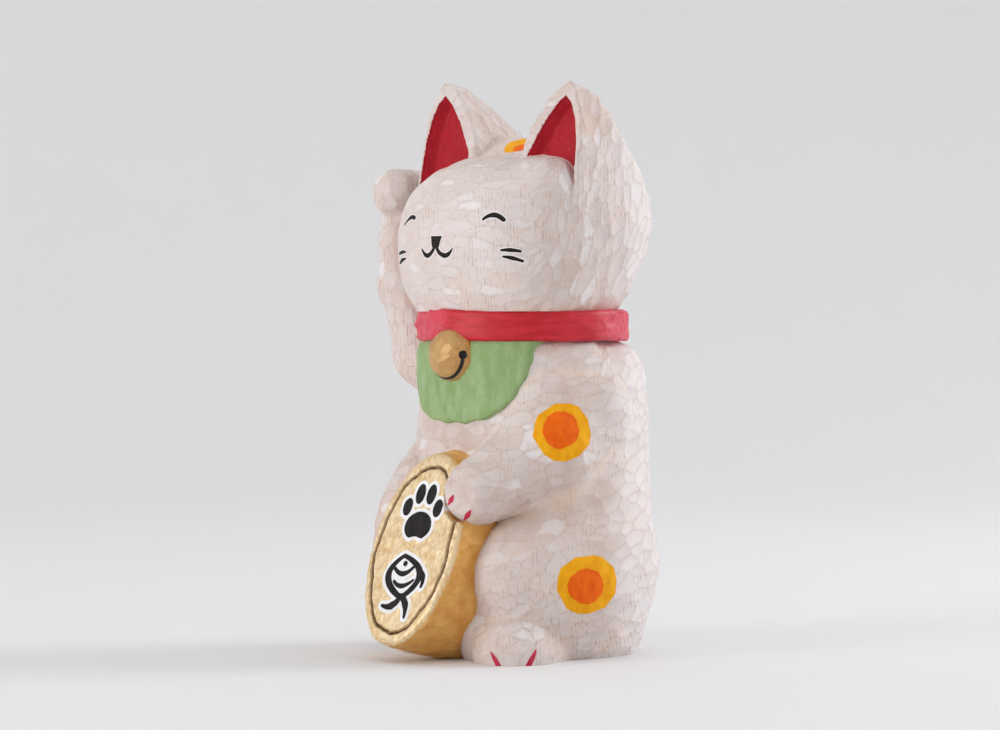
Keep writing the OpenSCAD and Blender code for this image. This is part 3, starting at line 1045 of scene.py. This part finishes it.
def film(name, base, outline, lift, material, fine=2):
    """A closed thin coat of paint on base, where outline(points, normals) is negative."""
    points, tris = base
    points, tris, normal = near_outline(points, tris, point_normals(points, tris), outline, 0.9)
    for _ in range(fine):
        points, tris, normal = near_outline(*refine(points, tris, normal), outline, 0.5)
    points, tris, data, rim = clip(points, tris, {"n": normal}, outline(points, normal))
    n = len(points)
    over = points + data["n"] * lift
    under = points - data["n"] * FILM_SINK
    i, j = rim[:, 0], rim[:, 1]
    walls = np.concatenate([np.stack([j, i, i + n], 1), np.stack([j, i + n, j + n], 1)])
    tris = np.concatenate([tris, tris[:, ::-1] + n, walls])
    return piece(name, np.concatenate([over, under]), tris, {}, material)


OUTSIDE = 9.0
FACING = 0.12


def stroke(u, v, knots, radii, steps):
    """Distance from a brush stroke through three knots, negative inside."""
    a, b, c = (np.array(k, float) for k in knots)
    b = 2 * b - (a + c) / 2
    found = np.full(u.shape, 1e3)
    t = np.linspace(0, 1, steps + 1)
    line = [(1 - s) ** 2 * a + 2 * s * (1 - s) * b + s * s * c for s in t]
    width = [np.interp(s, (0, 0.5, 1), radii) for s in t]
    for k in range(steps):
        dx, dy = line[k + 1] - line[k]
        q = np.clip(((u - line[k][0]) * dx + (v - line[k][1]) * dy) / (dx * dx + dy * dy), 0, 1)
        gap = np.hypot(u - line[k][0] - q * dx, v - line[k][1] - q * dy)
        found = np.minimum(found, gap - (width[k] * (1 - q) + width[k + 1] * q))
    return found


def strokes(u, v, marks, steps=14):
    """Distance from the nearest of several strokes, each with its knots and radii."""
    found = np.full(u.shape, OUTSIDE)
    for knots, radii in marks:
        found = np.minimum(found, stroke(u, v, knots, radii, steps))
    return found


def facing(value, normal, direction):
    """Value, kept away from skin that faces elsewhere."""
    return np.where(normal @ np.array(direction, float) > FACING, value, OUTSIDE)


EYE_Z = HEAD_Z + 19
NOSE_Z = HEAD_Z + 14.5
MOUTH_Z = HEAD_Z + 11.5


def eye_lines(p):
    """Two eyes smiled shut, the right one thinning out at its end."""
    marks = [
        ([(11.1, -0.1), (13.1, 0.75), (15.1, -0.3)], (0.28, 0.52, 0.4)),
        ([(-8.3, 0.55), (-10.2, 0.6), (-12.4, -0.9)], (0.45, 0.42, 0.15)),
    ]
    return strokes(p[:, 0], p[:, 2] - EYE_Z, marks)


def muzzle_lines(p):
    """A nose with a mouth that swings up on both sides."""
    nose = [(-0.75, -0.85), (0.75, -0.85), (1.1, 0.75), (-1.1, 0.75)]
    nose = polygon_distance(p[:, 0], p[:, 2] - NOSE_Z, nose) - 0.35
    marks = [
        ([(0.1, 2.6), (0.95, 0.9), (2.5, 0.05)], (0.4, 0.42, 0.52)),
        ([(2.3, 0.05), (3.6, 0.3), (4.6, 1.5)], (0.5, 0.45, 0.12)),
        ([(-0.1, 2.6), (-0.95, 0.9), (-2.4, 0.05)], (0.4, 0.42, 0.5)),
        ([(-2.1, 0.05), (-3.2, 0.3), (-4.2, 1.4)], (0.45, 0.45, 0.2)),
    ]
    return np.minimum(nose, strokes(p[:, 0], p[:, 2] - MOUTH_Z, marks))


def whisker_lines(p):
    """Two short whiskers on each cheek."""
    marks = [
        [(14.9, 12.5), (16.4, 12.55), (18.0, 12.3)],
        [(15.2, 11.2), (16.7, 10.9), (18.2, 10.3)],
        [(-11.5, 12.5), (-13.4, 12.5), (-15.4, 12.2)],
        [(-11.7, 11.1), (-13.5, 10.8), (-15.4, 10.2)],
    ]
    marks = [(knots, (0.22, 0.44, 0.3)) for knots in marks]
    return strokes(p[:, 0], p[:, 2] - HEAD_Z, marks)


def face_lines(p, normal):
    found = np.minimum(np.minimum(eye_lines(p), muzzle_lines(p)), whisker_lines(p))
    return facing(found, normal, FRONT)


def face_halo(p, normal):
    return face_lines(p, normal) - 0.2


def spot(at, facing_to, radius, seed, deep):
    """The outline of a round spot, with the straight runs of a flat brush."""
    out = np.array(facing_to, float)
    out /= np.linalg.norm(out)
    side = np.cross((0, 0, 1), out) if abs(out[2]) < 0.9 else np.array((1.0, 0, 0))
    side /= np.linalg.norm(side)
    up = np.cross(out, side)
    random = np.random.default_rng(seed)
    count = 13
    turn = (np.arange(count) + random.uniform(-0.3, 0.3, count)) * 2 * math.pi / count
    size = radius * random.uniform(0.98, 1.05, count)
    corners = [(s * math.cos(t), s * math.sin(t)) for s, t in zip(size, turn)]

    def outline(p, normal):
        q = p - np.array(at, float)
        value = polygon_distance(q @ side, q @ up, corners)
        value = np.where(np.abs(q @ out) > deep, OUTSIDE, value)
        return facing(value, normal, out)

    return outline


def surface_point(tree, at, direction):
    """Where a ray from far outside, going against direction, meets the skin."""
    out = Vector(direction).normalized()
    hit = tree.ray_cast(Vector(at) + out * 80, -out)
    return np.array(hit[0])


def tree_of(skin):
    points, tris = skin
    return BVHTree.FromPolygons([tuple(p) for p in points], [tuple(t) for t in tris.tolist()])


def flank_point(tree, across, z):
    """The skin's point at a distance across the view and at a height."""
    at = (across * SIDE_AXIS[0], across * SIDE_AXIS[1], z)
    return surface_point(tree, at, TO_VIEW)


def ring_spot(name, base, at, out, big, small, seed, shift, deep=12.0):
    """A yellow spot with a smaller orange one on it, a little off its middle."""
    yellow = spot(at, out, big, seed, deep)
    orange = spot(np.array(at) + np.array(shift), out, small, seed + 1, deep)
    film(name + "_yellow", base, yellow, 0.05, YELLOW, fine=1)
    film(name + "_orange", base, orange, 0.09, ORANGE, fine=1)


def claws(marks):
    """Leaf-shaped claw marks, drawn across the view and up."""

    def outline(p, normal):
        found = strokes(p @ np.array(SIDE_AXIS), p @ np.array(UP_AXIS, float), marks, 8)
        return facing(found, normal, TO_VIEW)

    return outline


def coin_plane(p):
    return p[:, 0], (p - COIN_AT) @ COIN_UP


PRINT_V = 7.4
PRINT_TOES = [
    ((-4.4, 1.7), (1.3, 1.95)),
    ((-1.6, 4.6), (1.3, 2.2)),
    ((1.6, 4.6), (1.3, 2.2)),
    ((4.4, 1.7), (1.3, 1.95)),
]
FISH_V = -7.0


def print_marks(p):
    """A paw print: four toes over a pad."""
    u, v = coin_plane(p)
    v = v - PRINT_V
    pad = oval_distance(u, v + 2.3, (3.8, 3.1))
    pad = smooth_max(pad, -oval_distance(u, v + 6.2, (2.2, 1.6)), 0.6)
    for (x, y), half in PRINT_TOES:
        pad = np.minimum(pad, oval_distance(u - x, v - y, half))
    return pad


def fish_marks(p):
    """A fish, drawn with a brush: two sides, a forked tail, a fin, gill, scales and eye."""
    u, v = coin_plane(p)
    v = v - FISH_V
    marks = [
        ([(-1.4, 5.6), (4.3, 1.8), (0.6, -3.4)], (0.45, 0.9, 0.6)),
        ([(-1.4, 5.6), (-4.6, 0.9), (0.6, -3.4)], (0.45, 0.9, 0.6)),
        ([(0.6, -3.0), (-1.4, -5.2), (-4.2, -5.3)], (0.6, 0.85, 0.35)),
        ([(0.6, -3.0), (2.4, -4.7), (3.0, -7.4)], (0.6, 0.85, 0.35)),
        ([(3.6, 2.9), (5.4, 1.4), (5.6, -0.8)], (0.4, 0.65, 0.3)),
        ([(-3.2, 2.7), (-0.5, 1.7), (2.0, 3.2)], (0.4, 0.6, 0.35)),
        ([(-2.6, 0.0), (0.0, -0.9), (2.8, 0.5)], (0.35, 0.55, 0.3)),
    ]
    eye = np.hypot(u + 0.6, v - 3.9) - 0.6
    return np.minimum(strokes(u, v, marks), eye)


def coin_marks(p, normal):
    return facing(np.minimum(print_marks(p), fish_marks(p)), normal, COIN_OUT)


def coin_halo(p, normal):
    value = smooth_min(print_marks(p), fish_marks(p), 0.5) - 0.75
    return facing(value, normal, COIN_OUT)


# ---- the pieces

STEP = 0.42
FINE = 0.34
BELL_STEP = 0.17
# How much the whole bell is darkened: painted shade.
BELL_PAINTED_SHADE = 0.35
PAST_CUT = 1.2
FULL_CREASE = 0.35


def crease_mask(points):
    """How far a point is filled in by the fillets between two forms."""
    return np.clip((figure(points, sharp_min) - figure(points)) / FULL_CREASE, 0, 1)


def carve(shape, low, high, step, style, number, strength=1.0):
    """A shape's skin before and after the gouge, and what the paint needs to know."""
    points, tris = skin_of(shape, low, high, step)
    scoops = Scoops(points, tris, style, SEED + number)
    carved, data = scoops.carve(points, tris, strength)
    return points, carved, tris, data


def build_body(white):
    low = (-31, -30, -PAST_CUT)
    high = (31, 32.5, NECK_Z + PAST_CUT)
    plain, points, tris, data = carve(body_shape, low, high, STEP, body_style, 0)
    data["crease"] = crease_mask(plain)
    points, tris, data = cut_flat(points, tris, data, 0.0, False)
    points, tris, data = cut_flat(points, tris, data, NECK_Z, True)
    piece("body_carved", points, tris, data, white, "body")
    return points, tris


def build_arm(white):
    cut = even_style(5.0, 3.2, math.pi / 2, 0.13)
    plain, points, tris, data = carve(raised_arm_shape, ARM_LOW - 2, ARM_HIGH + 2, FINE, cut, 1)
    data["crease"] = 0.5 * crease_mask(plain)
    piece("raised_arm_carved", points, tris, data, white, "raised_arm")


def build_head(white):
    """The head, with the hollows of the ears left nearly smooth."""
    plain, carved, tris, data = carve(head_shape, HEAD_LOW - 2, HEAD_HIGH + 2, FINE, head_style, 2)
    q = ear_space(plain)
    front = (q - EAR_TIP) @ EAR_FRONT
    outside = np.minimum(3 * (skull(plain) - 0.2), front + 4.5)
    red = np.minimum(-ear_red(q), outside)
    quiet = 1 - 0.9 * smooth_step(red, -0.8, 0.2)
    points = plain + (carved - plain) * quiet[:, None]
    data["ear_red"] = np.clip(red, -3, 3)
    hem = np.exp(-(((points[:, 2] - HEAD_Z) / 2.2) ** 2))
    join = smooth_step(q[:, 1], -7.9, -7.0) * np.exp(-np.abs(skull(points)) / 0.6)
    data["crease"] = np.clip(0.7 * hem + 0.35 * join * (q[:, 2] > HEAD_Z + 24), 0, 1)
    points, tris, data = cut_flat(points, tris, data, HEAD_Z, False)
    piece("head_carved", points, tris, data, white, "head")
    return points, tris


def collar_band(p):
    """A ring with worn edges that isn't quite level."""
    r = np.hypot(p[..., 0], p[..., 1])
    turn = np.arctan2(p[..., 1], p[..., 0])
    sway = 0.12 * np.sin(3 * turn + 0.4) + 0.08 * np.sin(7 * turn)
    top = p[..., 2] - HEAD_Z - 0.25 - sway
    low = NECK_Z - 0.15 - p[..., 2] + 0.5 * sway
    ring = smooth_max(smooth_max(r - COLLAR_R, top, COLLAR_ROUND), low, COLLAR_ROUND)
    return np.maximum(ring, COLLAR_BORE - r)


def build_collar(material):
    """The collar, nearly smooth in front and faceted by the knife at the two sides in view."""
    cut = even_style(3.6, 2.6, 0, 0.10)
    low, high = COLLAR_LOW - 1.5, COLLAR_HIGH + 1.5
    plain, moved, tris, data = carve(collar_band, low, high, FINE, cut, 3, 2.2)
    across = np.abs(plain[:, 0] * SIDE_AXIS[0] + plain[:, 1] * SIDE_AXIS[1])
    carved = smooth_step(across, 14.5, 18.5) * (np.hypot(plain[:, 0], plain[:, 1]) > 20)
    points = plain + (moved - plain) * (0.12 + 0.88 * carved)[:, None]
    # The same mask lightens the crimson to pink there: a painted highlight.
    data["carved"] = carved
    piece("collar_carved", points, tris, data, material, "collar")


def build_bib(material):
    cut = even_style(5.0, 3.4, math.pi / 2, 0.045)
    low = (BIB_LOW[0] - 3, BIB_LOW[1] - 3, BIB_LOW[2] - 2)
    high = (BIB_HIGH[0] + 3, -2, NECK_Z + 1)
    _, points, tris, data = carve(bib_shape, low, high, FINE, cut, 4)
    points, tris, data = cut_flat(points, tris, data, NECK_Z - 0.02, True)
    piece("bib_carved", points, tris, data, material, "bib")


def build_bell(material):
    cut = even_style(2.3, 2.0, 0, 0.09)
    reach = BELL_R + 1.5
    plain, moved, tris, data = carve(bell_shape, BELL_AT - reach, BELL_AT + reach, BELL_STEP, cut, 5)
    data["slot"] = smooth_step(-bell_slot(plain), -0.2, -0.04)
    points = plain + (moved - plain) * (1 - data["slot"])[:, None]
    data["side"] = 0.75 + 0.25 * smooth_step(points[:, 1] - BELL_AT[1], -1.2, -0.4)
    # Painted shade: the whole bell is darkened a little through the groove tone.
    data["groove"] = np.full(len(points), BELL_PAINTED_SHADE)
    piece("bell_carved", points, tris, data, material, "bell")


def build_coin(material):
    low, high = COIN_LOW - 2, COIN_HIGH + 2
    low[2] = -PAST_CUT
    plain, moved, tris, data = carve(coin_shape, low, high, FINE, coin_style, 6)
    away = np.abs(coin_groove(plain))
    depth = coin_section(plain)[1] + GROOVE_DEPTH * (away < GROOVE_W)
    on_face = smooth_step(depth, -1.3, -0.5)
    groove = np.where(on_face > 0.1, away, 2.0)
    points = plain + (moved - plain) * smooth_step(groove, 0.2, 0.8)[:, None]
    data.update({"side": 1 - on_face, "groove": np.clip(groove, 0, 2), "slot": 0 * away})
    points, tris, data = cut_flat(points, tris, data, 0.0, False)
    piece("coin_carved", points, tris, data, material, "coin")
    return points, tris


white = white_paint()
body = build_body(white)
build_arm(white)
head = build_head(white_paint(red=True))
build_collar(crimson_paint())
build_bib(green_paint())
gold = gold_paint()
build_bell(gold)
coin = build_coin(gold)

BLACK = film_paint("black_paint", (24, 21, 21), (38, 33, 32), 0.6, 0.2)
BROWN = film_paint("brown_black_paint", (26, 16, 11), (44, 30, 24), 0.6, 0.2)
CLEAN = film_paint("thick_white_paint", (236, 234, 236), (246, 245, 247))
YELLOW = film_paint("yellow_paint", (240, 160, 4), (250, 180, 20), 0.7, 0.2)
ORANGE = film_paint("orange_paint", (234, 92, 0), (246, 110, 6), 0.7, 0.2)
CLAW = film_paint("claw_paint", (186, 30, 62), (204, 48, 84))

film("face_halo", head, face_halo, 0.03, CLEAN)
film("face_lines", head, face_lines, 0.07, BROWN)
film("coin_halo", coin, coin_halo, 0.04, CLEAN, fine=1)
film("coin_marks", coin, coin_marks, 0.08, BLACK)

flank = tree_of(body)
upper = flank_point(flank, 8.1, 47.2)
ring_spot("upper_spot", body, upper, TO_VIEW, 5.9, 3.75, 11, (-0.25, -0.25, 0.5))
lower = flank_point(flank, 13.1, 16.0)
ring_spot("lower_spot", body, lower, TO_VIEW, 6.2, 3.7, 21, (-0.2, -0.2, -0.3))
crown = surface_point(tree_of(head), (1.9, -2.8, HEAD_Z), UP_AXIS)
ring_spot("crown_spot", head, crown, (0.1, -0.5, 0.86), 3.7, 1.7, 31, (1.4, -1.7, 0), 2.1)

dowels = wood()
for name in ("neck_dowel", "arm_dowel", "coin_dowels", "bell_peg"):
    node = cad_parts[name]
    node.data.materials.clear()
    node.data.materials.append(dowels)

PAW_CLAWS = [
    ([(-15.3, 32.4), (-14.7, 33.4), (-14.2, 34.4)], (0.1, 0.5, 0.15)),
    ([(-12.0, 29.4), (-11.3, 30.4), (-10.7, 31.4)], (0.15, 0.55, 0.2)),
]
FOOT_CLAWS = [
    ([(-6.5, 2.8), (-5.7, 1.4), (-4.6, -0.6)], (0.12, 0.45, 0.5)),
    ([(2.6, 3.2), (1.9, 1.6), (0.7, -0.6)], (0.15, 0.5, 0.55)),
]
film("paw_claws", body, claws(PAW_CLAWS), 0.06, CLAW)
film("foot_claws", body, claws(FOOT_CLAWS), 0.06, CLAW)


# ---- stage, light and camera


FLOOR_R = 0.6
BEND_R = 0.9
WALL_TOP = 2.2
BEND_STEPS = 12
AROUND = 96


def stage():
    """A pale floor that turns up into a round wall, far from the figure."""
    profile = [(0.0, 0.0), (FLOOR_R, 0.0)]
    for i in range(1, BEND_STEPS + 1):
        t = i / BEND_STEPS * math.pi / 2
        profile.append((FLOOR_R + BEND_R * math.sin(t), BEND_R * (1 - math.cos(t))))
    profile.append((FLOOR_R + BEND_R, WALL_TOP))
    turns = [2 * math.pi * j / AROUND for j in range(AROUND)]
    points = [(r * math.cos(t), r * math.sin(t), z) for r, z in profile for t in turns]
    faces = []
    for i in range(len(profile) - 1):
        low, high = i * AROUND, (i + 1) * AROUND
        for j in range(AROUND):
            k = (j + 1) % AROUND
            faces.append((low + j, high + j, high + k, low + k))
    mesh = bpy.data.meshes.new("stage")
    mesh.from_pydata(points, [], faces)
    mesh.shade_smooth()
    paint = Paint("stage_paper", 0.9, 0.1)
    paint.color(srgb(236, 236, 237))
    mesh.materials.append(paint.material)
    ob = bpy.data.objects.new("stage", mesh)
    bpy.context.scene.collection.objects.link(ob)


LIT_POINT = Vector((0, 0, 0.06))


def area_light(name, right, toward, up, size, power, color=(1, 1, 1)):
    """A lamp placed to the viewer's right, towards the viewer and up, aimed at the figure."""
    light = bpy.data.lights.new(name, "AREA")
    light.size = size
    light.energy = power
    light.color = color
    ob = bpy.data.objects.new(name, light)
    ob.location = Vector(SIDE_AXIS) * right + Vector(TO_VIEW) * toward + Vector((0, 0, up))
    ob.rotation_euler = (LIT_POINT - ob.location).to_track_quat("-Z", "Y").to_euler()
    bpy.context.scene.collection.objects.link(ob)


stage()
area_light("key", -0.8, 0.45, 0.2, 0.45, 3.4, (1, 0.985, 0.97))
area_light("rim", 0.8, -0.2, 0.42, 0.35, 3.0)

world = bpy.data.worlds.new("world")
world.use_nodes = True
background = world.node_tree.nodes["Background"]
background.inputs["Color"].default_value = (1, 1, 1, 1)
background.inputs["Strength"].default_value = 0.97
bpy.context.scene.world = world

CAMERA_FAR = 0.730
CAMERA_Z = 0.0698
CAMERA_PITCH = math.radians(0.717)
camera = bpy.data.cameras.new("camera")
camera.lens = 123.65
camera.sensor_width = 36.0
camera.shift_x = -0.023
camera.clip_start = 0.01
camera_object = bpy.data.objects.new("camera", camera)
camera_object.location = Vector(TO_VIEW) * CAMERA_FAR + Vector((0, 0, CAMERA_Z))
camera_object.rotation_euler = (math.pi / 2 - CAMERA_PITCH, 0, VIEW_TURN)
bpy.context.scene.collection.objects.link(camera_object)
bpy.context.scene.camera = camera_object
bpy.context.scene.view_settings.view_transform = "Standard"
